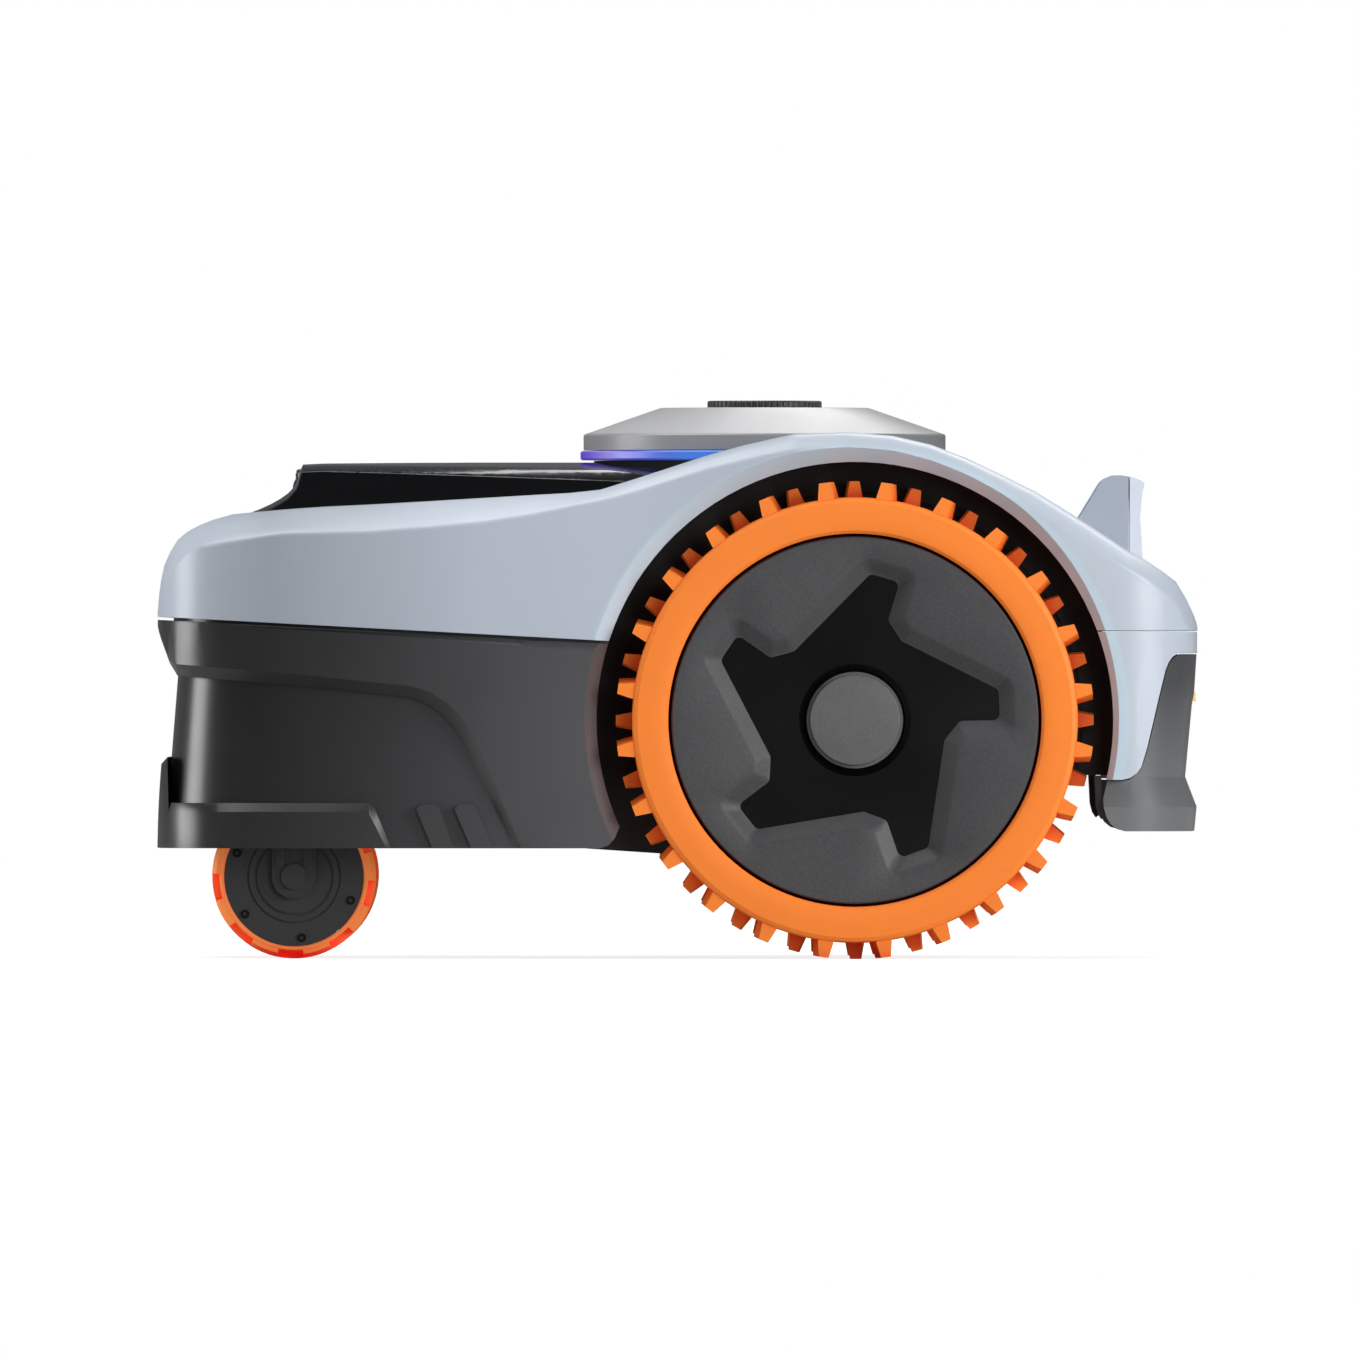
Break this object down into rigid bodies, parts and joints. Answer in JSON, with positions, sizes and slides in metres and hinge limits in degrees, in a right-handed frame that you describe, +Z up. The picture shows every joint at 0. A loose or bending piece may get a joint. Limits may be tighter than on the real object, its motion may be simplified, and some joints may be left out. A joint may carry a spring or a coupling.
{
  "type": "robotic lawn mower",
  "caption": "Two-wheel-drive robotic lawn mower with swivelling front casters, lit sensor turret with height dial, height-adjustable blade disc and pressable bumper.",
  "frame": {"origin": "middle of the footprint on the ground", "axes": "+X forward, towards the bumper; +Y left; +Z up"},
  "size_m": [0.5429, 0.385, 0.2907],
  "materials": {
    "shell_paint": "satin light grey-blue",
    "panel_plastic": "fine-grain dark grey",
    "skirt_plastic": "fine-grain dark grey",
    "tub_plastic": "matt black",
    "liner_plastic": "matt black",
    "deck_gloss": "high gloss black",
    "bezel_plastic": "satin black",
    "barrel_plastic": "matt black",
    "lens_glass": "coated lens",
    "neck_plastic": "satin black",
    "light_ring": "diffusing light ring",
    "turret_plastic": "fine metallic grey",
    "ceramic": "ceramic antenna patch",
    "knob_plastic": "knurled dark grey",
    "steel": "turned steel",
    "axle_steel": "black cap over steel axle",
    "bearing_steel": "ground steel",
    "contact_brass": "bare contact strip",
    "grip_plastic": "soft whitish trim",
    "motor_steel": "plated can",
    "battery_plastic": "ribbed pack",
    "board": "circuit board",
    "carriage_plastic": "glass-filled nylon",
    "disc_plastic": "matt black",
    "blade_steel": "hardened steel",
    "tyre_orange": "orange rubber",
    "caster_orange": "orange rubber",
    "rim_plastic": "matt black",
    "hub_plastic": "dark grey, spark-eroded grain",
    "inlay_gloss": "high gloss black",
    "cap_plastic": "grey, spark-eroded grain",
    "fork_plastic": "satin dark grey",
    "core_plastic": "satin dark grey",
    "screw_black": "blackened steel"
  },
  "bodies": {
    "body": {"chassis_tub": "tub_plastic", "belly_cover": "tub_plastic", "belly_screws": "steel", "top_shell": "shell_paint", "rear_quarter_shell": "shell_paint", "rear_panel": "panel_plastic", "charge_contacts": "contact_brass", "console_deck": "deck_gloss", "camera_bezel": "bezel_plastic", "camera_barrel": "barrel_plastic", "camera_lens": "lens_glass", "turret_base": "neck_plastic", "led_ring": "light_ring", "turret_cover": "turret_plastic", "antenna": "ceramic", "carry_handle": "shell_paint", "handle_grip": "grip_plastic", "wheel_liner_left": "liner_plastic", "wheel_liner_right": "liner_plastic", "mud_guards": "liner_plastic", "drive_motor_left": "motor_steel", "drive_motor_right": "motor_steel", "battery_pack": "battery_plastic", "main_board": "board", "guide_rods": "steel", "caster_bearings": "bearing_steel"},
    "bumper": {"front_skirt": "skirt_plastic"},
    "lift": {"cutter_carriage": "carriage_plastic", "cutter_motor": "motor_steel"},
    "spinner": {"cutter_disc": "disc_plastic", "blade_screws": "steel"},
    "blade_a": {"blade_1": "blade_steel"},
    "blade_b": {"blade_2": "blade_steel"},
    "blade_c": {"blade_3": "blade_steel"},
    "height_dial": {"height_knob": "knob_plastic", "lift_screw": "steel"},
    "wheel_left": {"drive_tyre_left": "tyre_orange", "drive_rim_left": "rim_plastic", "drive_hub_cover_left": "hub_plastic", "drive_star_inlay_left": "inlay_gloss", "drive_centre_cap_left": "cap_plastic", "drive_wheel_bolts_left": "steel", "drive_axle_left": "steel"},
    "caster_left": {"caster_fork_left": "fork_plastic", "caster_axle_left": "axle_steel"},
    "caster_wheel_left": {"caster_core_left": "core_plastic", "caster_tyre_left": "caster_orange", "caster_screws_left": "screw_black"},
    "wheel_right": {"drive_tyre_right": "tyre_orange", "drive_rim_right": "rim_plastic", "drive_hub_cover_right": "hub_plastic", "drive_star_inlay_right": "inlay_gloss", "drive_centre_cap_right": "cap_plastic", "drive_wheel_bolts_right": "steel", "drive_axle_right": "steel"},
    "caster_right": {"caster_fork_right": "fork_plastic", "caster_axle_right": "axle_steel"},
    "caster_wheel_right": {"caster_core_right": "core_plastic", "caster_tyre_right": "caster_orange", "caster_screws_right": "screw_black"}
  },
  "joints": [
    {"name": "bumper_press", "type": "slide", "parent": "body", "child": "bumper", "axis": [-1, 0, 0], "range_m": [0, 0.003], "stiffness_N_per_m": 1500, "springref_m": -0.003},
    {"name": "cutter_lift", "type": "slide", "parent": "body", "child": "lift", "axis": [0, 0, 1], "range_m": [-0.04, 0]},
    {"name": "height_dial_turn", "type": "hinge", "parent": "body", "child": "height_dial", "pos_m": [-0.0455, 0, 0.289], "axis": [0, 0, 1], "range_deg": [-320, 0]},
    {"name": "cutter_spin", "type": "hinge", "parent": "lift", "child": "spinner", "pos_m": [-0.0455, 0, 0.061], "axis": [0, 0, 1], "continuous": true},
    {"name": "blade_a_swing", "type": "hinge", "parent": "spinner", "child": "blade_a", "pos_m": [0.0085, 0, 0.0593], "axis": [0, 0, 1], "range_deg": [-90, 90]},
    {"name": "blade_b_swing", "type": "hinge", "parent": "spinner", "child": "blade_b", "pos_m": [-0.0725, 0.04677, 0.0593], "axis": [0, 0, 1], "range_deg": [-90, 90]},
    {"name": "blade_c_swing", "type": "hinge", "parent": "spinner", "child": "blade_c", "pos_m": [-0.0725, -0.04677, 0.0593], "axis": [0, 0, 1], "range_deg": [-90, 90]},
    {"name": "wheel_left_spin", "type": "hinge", "parent": "body", "child": "wheel_left", "pos_m": [-0.092, 0.1625, 0.124], "axis": [0, 1, 0], "continuous": true},
    {"name": "caster_left_swivel", "type": "hinge", "parent": "body", "child": "caster_left", "pos_m": [0.2096, 0.117, 0.11], "axis": [0, 0, 1], "continuous": true},
    {"name": "caster_left_roll", "type": "hinge", "parent": "caster_left", "child": "caster_wheel_left", "pos_m": [0.1994, 0.117, 0.0426], "axis": [0, 1, 0], "continuous": true},
    {"name": "wheel_right_spin", "type": "hinge", "parent": "body", "child": "wheel_right", "pos_m": [-0.092, -0.1625, 0.124], "axis": [0, 1, 0], "continuous": true},
    {"name": "caster_right_swivel", "type": "hinge", "parent": "body", "child": "caster_right", "pos_m": [0.2096, -0.117, 0.11], "axis": [0, 0, 1], "continuous": true},
    {"name": "caster_right_roll", "type": "hinge", "parent": "caster_right", "child": "caster_wheel_right", "pos_m": [0.1994, -0.117, 0.0426], "axis": [0, 1, 0], "continuous": true}
  ],
  "couplings": [
    {"joint": "height_dial_turn", "follows": "cutter_lift", "rad_per_m": 139.63}
  ]
}
